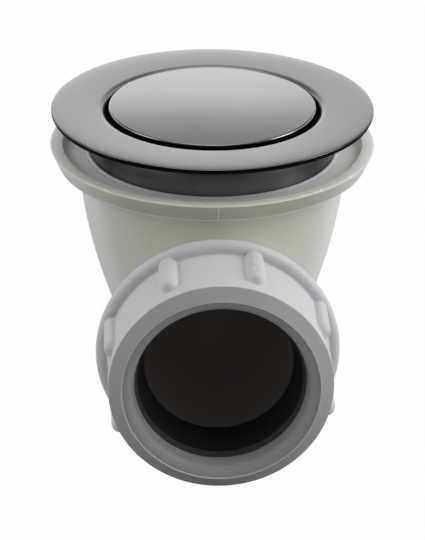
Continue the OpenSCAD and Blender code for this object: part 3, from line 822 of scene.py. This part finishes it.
def bow(p, q, rise, steps=12):
    """Points on a shallow bow from p to q that stands rise to the left of the chord."""
    p = np.array(p, float)
    q = np.array(q, float)
    chord = q - p
    side = np.array([-chord[1], chord[0]]) / np.linalg.norm(chord)
    return [p + t * chord + 4 * rise * t * (1 - t) * side for t in np.linspace(0, 1, steps + 1)]


# The face's slope in degrees at each radius. It is almost flat and bends up near its edge.
face_tilt = [
    (29.65, -0.9), (30.2, -0.82), (32.0, -0.7), (36.0, -0.6), (39.0, -0.37), (40.0, -0.2),
    (41.0, 0.08), (41.7, 0.65), (42.3, 2.0),
]
face_line = [(flange_r - edge_r, flange_top)]
for r in np.linspace(flange_r - edge_r, lip_opening_r + lip_r, 61)[1:]:
    tilt = np.interp(r, [row[0] for row in face_tilt], [row[1] for row in face_tilt])
    before_r, before_z = face_line[-1]
    face_line.append((r, before_z + (before_r - r) * math.tan(math.radians(tilt))))
rise = flange_top - max(z for r, z in face_line)
face_line = [(r, z + rise) for r, z in face_line]
face_edge_z = face_line[0][1]
lip_z = face_line[-1][1]
throat = lip_z - lip_r

flange_outline = [(skirt_bore_r, -skirt_l), (skirt_r - 0.5, -skirt_l), (skirt_r, -skirt_l + 0.5)]
flange_outline += [(skirt_r, gasket_t)]
flange_outline += arc(flange_r - edge_r, gasket_t + edge_r, edge_r, edge_r, -90, 0, 6)
flange_outline += arc(flange_r - edge_r, face_edge_z - edge_r, edge_r, edge_r, 0, 90, 6)
flange_outline += face_line[1:]
flange_outline += arc(lip_opening_r + lip_r, throat, lip_r, lip_r, 100, 180, 8)
flange_outline += [(lip_opening_r, throat - 0.5), (opening_r, throat - 1.5)]
flange_outline += [(opening_r, -throat_l), (skirt_bore_r, -throat_l - 0.6)]
hub_outline = [(0, hub_bottom), (hub_r, hub_bottom, 0.4), (hub_r, hub_top, 0.4), (0, hub_top)]
mirror_columns = 256
flange = turned("flange_ring", flange_outline, mirror_columns)
hub = turned("hub", rounded(hub_outline), small_columns)

arm_foot = hub_bottom + 1
arm_side = [(hub_r - 1, arm_foot)]
arm_side += [tuple(p) for p in bow((hub_r, arm_foot), (arm_r, -skirt_l), 2)]
arm_side += [tuple(p) for p in bow((arm_r, -skirt_l + arm_h), (hub_r, arm_foot + arm_h), -2)]
arm_side += [(hub_r - 1, arm_foot + arm_h)]
rows = len(arm_side)
arm_side_t = arm_t / 2
arm_flat_t = arm_side_t - arm_bevel
arm_layers = [(-arm_side_t, arm_bevel), (-arm_flat_t, 0.0)]
arm_layers += [(arm_flat_t, 0.0), (arm_side_t, arm_bevel)]
corners = []
for t, inset in arm_layers:
    for i, (r, z) in enumerate(arm_side):
        lift = inset if i < rows // 2 else -inset
        corners.append((r, t, z + lift))
faces = [tuple(range(rows)), tuple(range(4 * rows - 1, 3 * rows - 1, -1))]
for layer in (0, rows, 2 * rows):
    for i in range(rows):
        j = (i + 1) % rows
        faces.append((layer + i, layer + j, layer + rows + j, layer + rows + i))
for quarter in range(4):
    arm_place = Matrix.Rotation(math.radians(45 + 90 * quarter), 4, "Z")
    combine(hub, piece_of("arm", corners, faces, arm_place), "UNION")
head_pocket = [(0, washer_z), (pocket_r, washer_z), (pocket_r, 0), (0, 0)]
combine(hub, turned("head_pocket", head_pocket, small_columns), "DIFFERENCE")
screw_hole = [(0, hub_bottom - 1), (screw_hole_r, hub_bottom - 1), (screw_hole_r, 0), (0, 0)]
combine(hub, turned("screw_hole", screw_hole, small_columns), "DIFFERENCE")
combine(flange, hub, "UNION")
smooth(flange, 35)

gunmetal = finish("gun_metal_polish", (0.52, 0.52, 0.523), 0.06, 1.0)
speckle(gunmetal, 60, 0.0000005, (0.05, 0.09), 2)
satin = finish("gun_metal_satin", (0.27, 0.27, 0.27), 0.32, 1.0)
speckle(satin, 400, 0.000004, (0.27, 0.37))
tree = satin.node_tree
x_here, _, z_here = own_axes(tree)

# Painted reflection and painted shadow on the satin skirt: streaks round it stand for the recess
# it mirrors, it is darker low down, and a painted shadow lies high up in its middle.
painted_reflection_stops = [
    (-32.4, 0.21), (-30.7, 0.17), (-28.5, 0.12), (-27.0, 0.11), (-25.7, 0.15), (-22.0, 0.23),
    (13.6, 0.25), (19.0, 0.31), (22.0, 0.20), (26.0, 0.09), (30.0, 0.10), (32.4, 0.18),
]
across = fade(tree, x_here, start=-skirt_r / 1000, end=skirt_r / 1000)
skirt_painted_reflection = tones_along(tree, across, [
    ((side + skirt_r) / (2 * skirt_r), (tone, tone, tone)) for side, tone in painted_reflection_stops])
low_painted_shade = fade(tree, z_here, start=-0.0105, end=-0.0062, low=0.68)
painted_reflection_tone = mixed(tree, "MULTIPLY", 1.0, skirt_painted_reflection, low_painted_shade)
painted_shadow_height = fade(tree, z_here, start=-0.0070, end=-0.0040)
sideways = maths(tree, "ABSOLUTE", x_here)
in_the_middle = fade(tree, sideways, start=0.006, end=0.015, low=1.0, high=0.0)
painted_shadow_mask = maths(tree, "MULTIPLY", painted_shadow_height, in_the_middle)
skirt_painted_tone = mixed(tree, "MIX", painted_shadow_mask, painted_reflection_tone, (0.06, 0.06, 0.06, 1))
tree.links.new(skirt_painted_tone, shader_of(satin).inputs["Base Color"])

# Painted shade: the flange's edge, its throat and the cap's side are near black.
dark_painted_shade = finish("gun_metal_painted_shade", (0.006, 0.006, 0.006), 0.45, 1.0)
speckle(dark_painted_shade, 500, 0.00001, (0.45, 0.6))
# The lip's rounding is a lighter copy of the metal: a painted highlight.
lip = finish("gun_metal_lip_painted_highlight", (0.68, 0.68, 0.68), 0.30, 1.0)
speckle(lip, 60, 0.0000005, (0.27, 0.33), 2)
clad(flange, gunmetal, satin, dark_painted_shade, lip)
for face in flange.data.polygons:
    r = math.hypot(face.center.x, face.center.y) * 1000
    z = face.center.z * 1000
    on_edge = r > flange_r - edge_r and z < flange_top - 0.12
    in_throat = r < skirt_bore_r + 0.1 and -throat_l - 1 < z < lip_z - lip_polish_h
    on_lip = r < lip_opening_r + lip_r and z > lip_z - lip_polish_h
    under = z < gasket_t + 0.05
    if on_edge or in_throat:
        face.material_index = 2
    elif on_lip:
        face.material_index = 3
    elif under:
        face.material_index = 1
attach(flange, "flange")
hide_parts("flange")


# Flange gasket
# A thin black foam rubber ring stuck under the flange. It seals the flange to the bath, and only
# its edge shows, as the lower half of the black line under the flange's edge.
gasket_rubber = finish("gasket_rubber", (0.006, 0.006, 0.006), 0.7)
shader_of(gasket_rubber).inputs["Specular IOR Level"].default_value = 0.1
speckle(gasket_rubber, 1500, 0.00002, (0.6, 0.8))
clad(nodes["flange_gasket"], gasket_rubber)


# Button cap
# The push cap is turned in the same metal as the flange, with a low crown and a small rounded
# edge that has a painted highlight. It is screwed on the plunger, and its side is painted black
# as shade.
cap_high = box_mm("button_cap")[1]
cap_r = cap_high.x
cap_crown = 0.25
cap_round = 0.5
cap_top = cap_high.z - cap_crown
cap_bottom = cap_top - 2.5
crown_line = []
for step in range(33):
    r = (cap_r - cap_round) * (1 - step / 32)
    crown_line.append((r, cap_top + cap_crown * (1 - (r / cap_r) ** 2)))
crown_edge_z = crown_line[0][1]
cap_outline = [(0, cap_bottom - 1), (6, cap_bottom - 1), (6, cap_bottom)]
cap_outline += [(cap_r - 0.3, cap_bottom), (cap_r, cap_bottom + 0.3)]
cap_outline += arc(cap_r - cap_round, crown_edge_z - cap_round, cap_round, cap_round, 0, 88, 8)
cap = turned("push_cap", cap_outline + crown_line, mirror_columns)
smooth(cap, 35)
cap_polish = finish("cap_polish", (0.56, 0.56, 0.565), 0.06, 1.0)
speckle(cap_polish, 60, 0.0000005, (0.05, 0.09), 2)
# The rounded edge is a lighter copy of the metal: a painted highlight.
edge_painted_highlight = finish("cap_rim_painted_highlight", (0.80, 0.80, 0.80), 0.12, 1.0)
speckle(edge_painted_highlight, 60, 0.0000005, (0.10, 0.15), 2)
clad(cap, cap_polish, dark_painted_shade, edge_painted_highlight)
for face in cap.data.polygons:
    r = math.hypot(face.center.x, face.center.y) * 1000
    if face.center.z * 1000 < cap_top - 0.3:
        face.material_index = 1
    elif r > cap_r - cap_round * 0.7:
        face.material_index = 2
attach(cap, "button")
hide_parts("button_cap")


# Inner pieces
# Turned brass, steel and moulded plastic pieces carry and guide the button below the flange. They
# keep the frame's own solids, with a small bevel, and their threads are relief in the finish.
brass_tone = (0.78, 0.60, 0.28)
brass = finish("turned_brass", brass_tone, 0.28, 1.0)
speckle(brass, 300, 0.000006, (0.22, 0.36))
steel = finish("bright_steel", (0.60, 0.61, 0.63), 0.25, 1.0)
speckle(steel, 300, 0.000004, (0.2, 0.32))
black_plastic = finish("black_plastic", (0.02, 0.02, 0.022), 0.4)
speckle(black_plastic, 900, 0.00002, (0.35, 0.48))
white_plastic = finish("white_plastic", (0.80, 0.80, 0.75), 0.4)
speckle(white_plastic, 900, 0.00001, (0.35, 0.48))


def threaded(material, pitch, outer_r, low, high):
    """A helical thread as bump, on the skin near outer_r between two heights, in millimetres."""
    skin = 0.12
    depth_per_pitch = 0.0003
    tree = material.node_tree
    x, y, z = own_axes(tree)
    turn = maths(tree, "DIVIDE", maths(tree, "ARCTAN2", y, x), 2 * math.pi)
    rise = maths(tree, "DIVIDE", z, pitch / 1000)
    wave = maths(tree, "PINGPONG", maths(tree, "SUBTRACT", rise, turn), 0.5)
    squares = maths(tree, "ADD", maths(tree, "POWER", x, 2), maths(tree, "POWER", y, 2))
    radius = maths(tree, "SQRT", squares)
    wide_enough = maths(tree, "GREATER_THAN", radius, (outer_r - skin) / 1000)
    narrow_enough = maths(tree, "LESS_THAN", radius, (outer_r + skin) / 1000)
    above_low = maths(tree, "GREATER_THAN", z, low / 1000)
    below_high = maths(tree, "LESS_THAN", z, high / 1000)
    on_skin = maths(tree, "MULTIPLY", wide_enough, narrow_enough)
    in_span = maths(tree, "MULTIPLY", above_low, below_high)
    part = maths(tree, "MULTIPLY", on_skin, in_span)
    bump = tree.nodes.new("ShaderNodeBump")
    bump.inputs["Strength"].default_value = 1.0
    bump.inputs["Distance"].default_value = depth_per_pitch * pitch
    tree.links.new(maths(tree, "MULTIPLY", wave, part), bump.inputs["Height"])
    grain_bump = shader_of(material).inputs["Normal"].links[0].from_node
    tree.links.new(bump.outputs["Normal"], grain_bump.inputs["Normal"])


finishes = {
    "brass": brass, "steel": steel, "rubber": rubber, "black_plastic": black_plastic,
    "white_plastic": white_plastic, "grey_plastic": grey, "natural_plastic": natural,
    "gunmetal": satin,
}
# Each thread: its pitch, radius, and start and end above the piece's foot.
threads = {
    "clamp_screw": (1.75, 5.9, 1.0, 21.0),
    "cartridge_body": (1.25, 4.0, 0.5, 9.5),
    "plunger": (0.8, 2.5, 22.0, 40.0),
    "clamp_insert": (1.0, 7.4, 0.5, 11.5),
}
inner_bevel = 0.00012
sharp_corner = math.radians(40)
for row in frame["record"]["subparts"]:
    if row["node"] in ("slip_ring", "flange_gasket"):
        continue
    inner = nodes[row["node"]]
    clad(inner, finishes[row["material_slot"]])
    if row["node"] in threads:
        pitch, outer_r, start, end = threads[row["node"]]
        foot = box_mm(row["node"])[0].z
        cut = finish(row["node"] + "_thread", brass_tone, 0.28, 1.0)
        speckle(cut, 300, 0.000006, (0.22, 0.36))
        threaded(cut, pitch, outer_r, foot + start, foot + end)
        clad(inner, cut)
    edges = inner.modifiers.new("edges", "BEVEL")
    edges.width = inner_bevel
    edges.segments = 2
    edges.limit_method = "ANGLE"
    edges.angle_limit = sharp_corner


# Camera
# The photograph was taken from above and in front of the outlet, with a long lens. The camera
# leans and turns a little, and its place is in metres from the middle of the bath's hole.
camera_place = (-0.0264, -0.6279, 0.2558)
focal_px = 2564
photo_h = 540
dip = math.radians(25.7022)
yaw = math.radians(2.4406)
roll = math.radians(0.4259)
flat = math.cos(dip)
ahead = Vector((math.sin(yaw) * flat, math.cos(yaw) * flat, -math.sin(dip)))
level = Vector((math.cos(yaw), -math.sin(yaw), 0))
above = level.cross(ahead)
right = level * math.cos(roll) + above * math.sin(roll)
up = above * math.cos(roll) - level * math.sin(roll)
turn_camera = Matrix((right, up, -ahead)).transposed().to_4x4()
lens = bpy.data.cameras.new("camera")
lens.sensor_width = 36
lens.lens = focal_px * lens.sensor_width / photo_h
lens.clip_start = 0.01
camera = bpy.data.objects.new("camera", lens)
bpy.context.scene.collection.objects.link(camera)
camera.matrix_world = Matrix.Translation(camera_place) @ turn_camera
bpy.context.scene.camera = camera


# Light
# A white studio with a dark ceiling behind the object: its edge is what the flange and the cap
# mirror. Soft boxes stand right, left and above, and nothing lights the outlet from the front.
world = bpy.data.worlds.new("studio")
bpy.context.scene.world = world
world.use_nodes = True
tree = world.node_tree
tree.nodes.clear()
path = tree.nodes.new("ShaderNodeLightPath")
place = tree.nodes.new("ShaderNodeTexCoord")
split = tree.nodes.new("ShaderNodeSeparateXYZ")
tree.links.new(place.outputs["Generated"], split.inputs["Vector"])


def background(strength):
    """A white background as strong as a number or a socket says."""
    white = tree.nodes.new("ShaderNodeBackground")
    white.inputs["Color"].default_value = (1, 1, 1, 1)
    if isinstance(strength, float):
        white.inputs["Strength"].default_value = strength
    else:
        tree.links.new(strength, white.inputs["Strength"])
    return white.outputs["Background"]


def either(tree, share, first, second):
    """The first shader, or the second as far as the share says."""
    mix = tree.nodes.new("ShaderNodeMixShader")
    tree.links.new(share, mix.inputs["Fac"])
    tree.links.new(first, mix.inputs[1])
    tree.links.new(second, mix.inputs[2])
    return mix.outputs["Shader"]


def soft_light(so_far, azimuth, elevation, core, reach, strength):
    """Adds a soft round light far away, full inside its core and gone at its reach, in degrees."""
    a = math.radians(azimuth)
    e = math.radians(elevation)
    flat = math.cos(e)
    toward = tree.nodes.new("ShaderNodeVectorMath")
    toward.operation = "DOT_PRODUCT"
    toward.inputs[1].default_value = (math.cos(a) * flat, math.sin(a) * flat, math.sin(e))
    tree.links.new(place.outputs["Generated"], toward.inputs[0])
    edge = math.cos(math.radians(reach))
    full = math.cos(math.radians(core))
    spot = fade(
        tree, toward.outputs["Value"], start=edge, end=full, high=strength, how="SMOOTHSTEP")
    return maths(tree, "ADD", so_far, spot)


# What metal mirrors, by elevation in degrees, and by how far right it lies.
ceiling_stops = [
    (0.0, 1.0), (19.5, 1.0), (20.7, 0.935), (21.2, 0.872), (22.0, 0.742), (22.5, 0.65),
    (22.9, 0.551), (23.3, 0.46), (23.8, 0.398), (24.6, 0.347), (27.0, 0.2), (35.0, 0.1),
    (55.0, 0.15), (68.0, 0.7), (90.0, 0.9),
]
panel_stops = [
    (-1.0, 0.45), (-0.4, 0.45), (-0.2, 0.9), (0.0, 1.0), (0.06, 1.0), (0.1, 0.88), (0.2, 0.75),
    (0.4, 0.4), (1.0, 0.4),
]
ceiling = tones_along(tree, split.outputs["Z"], [
    (math.sin(math.radians(elevation)), (tone, tone, tone)) for elevation, tone in ceiling_stops])
behind = fade(tree, split.outputs["Y"], start=-0.2, end=0.2, low=0.3)
rightward = fade(tree, split.outputs["X"], start=-1.0, end=1.0)
panel = tones_along(tree, rightward, [
    ((side + 1) / 2, (tone, tone, tone)) for side, tone in panel_stops])
mirrored = maths(tree, "MULTIPLY", maths(tree, "MULTIPLY", ceiling, behind), panel)
glint_core = 8
glint_reach = 20
for azimuth, elevation, strength in ((180, 35, 0.8), (0, 32, 1.5)):
    mirrored = soft_light(mirrored, azimuth, elevation, glint_core, glint_reach, strength)

# What lights the plastic: three rows of soft boxes. Each row has its elevation, core and reach
# in degrees, and its boxes by azimuth and strength.
light = 0.0
for elevation, core, reach, row in [
    (4, 8, 26, [(0, 1.05), (25, 0.86), (50, 0.52), (90, 0.59), (130, 0.49), (155, 0.72),
                (180, 0.82), (210, 0.22), (330, 0.32)]),
    (30, 12, 32, [(0, 3.05), (45, 1.06), (90, 0.57), (135, 0.74), (180, 1.98), (225, 0.24),
                  (315, 0.48)]),
    (62, 12, 32, [(0, 0.58), (180, 0.28), (270, 0.05)]),
]:
    for azimuth, strength in row:
        light = soft_light(light, azimuth, elevation, core, reach, strength)

by_gloss = either(tree, path.outputs["Is Glossy Ray"], background(light), background(mirrored))
seen = maths(tree, "MAXIMUM", path.outputs["Is Camera Ray"], path.outputs["Is Transmission Ray"])
by_camera = either(tree, seen, by_gloss, background(1.0))
world_output = tree.nodes.new("ShaderNodeOutputWorld")
tree.links.new(by_camera, world_output.inputs["Surface"])


# Floor
# A plain white sheet that the waste stands on. The camera sees it almost as white as paper, and
# it is greyer to all other rays, so that it throws little light up under the object.
floor_reach = 3
floor_glow = 1.015
glow_share = 0.97
floor_z = body_base / 1000
sheet = [(-floor_reach, -floor_reach), (floor_reach, -floor_reach)]
sheet += [(floor_reach, floor_reach), (-floor_reach, floor_reach)]
floor_mesh = bpy.data.meshes.new("floor")
floor_mesh.from_pydata([(x, y, floor_z) for x, y in sheet], [], [(0, 1, 2, 3)])
floor = bpy.data.objects.new("floor", floor_mesh)
bpy.context.scene.collection.objects.link(floor)
white_floor = finish("white_floor", (0.30, 0.30, 0.30), 0.9)
tree = white_floor.node_tree
paper = tree.nodes.new("ShaderNodeEmission")
paper.inputs["Strength"].default_value = floor_glow
path = tree.nodes.new("ShaderNodeLightPath")
share = maths(tree, "MULTIPLY", path.outputs["Is Camera Ray"], glow_share)
surface = either(tree, share, shader_of(white_floor).outputs["BSDF"], paper.outputs["Emission"])
tree.links.new(surface, tree.nodes["Material Output"].inputs["Surface"])
clad(floor, white_floor)

bpy.context.scene.view_settings.view_transform = "Standard"
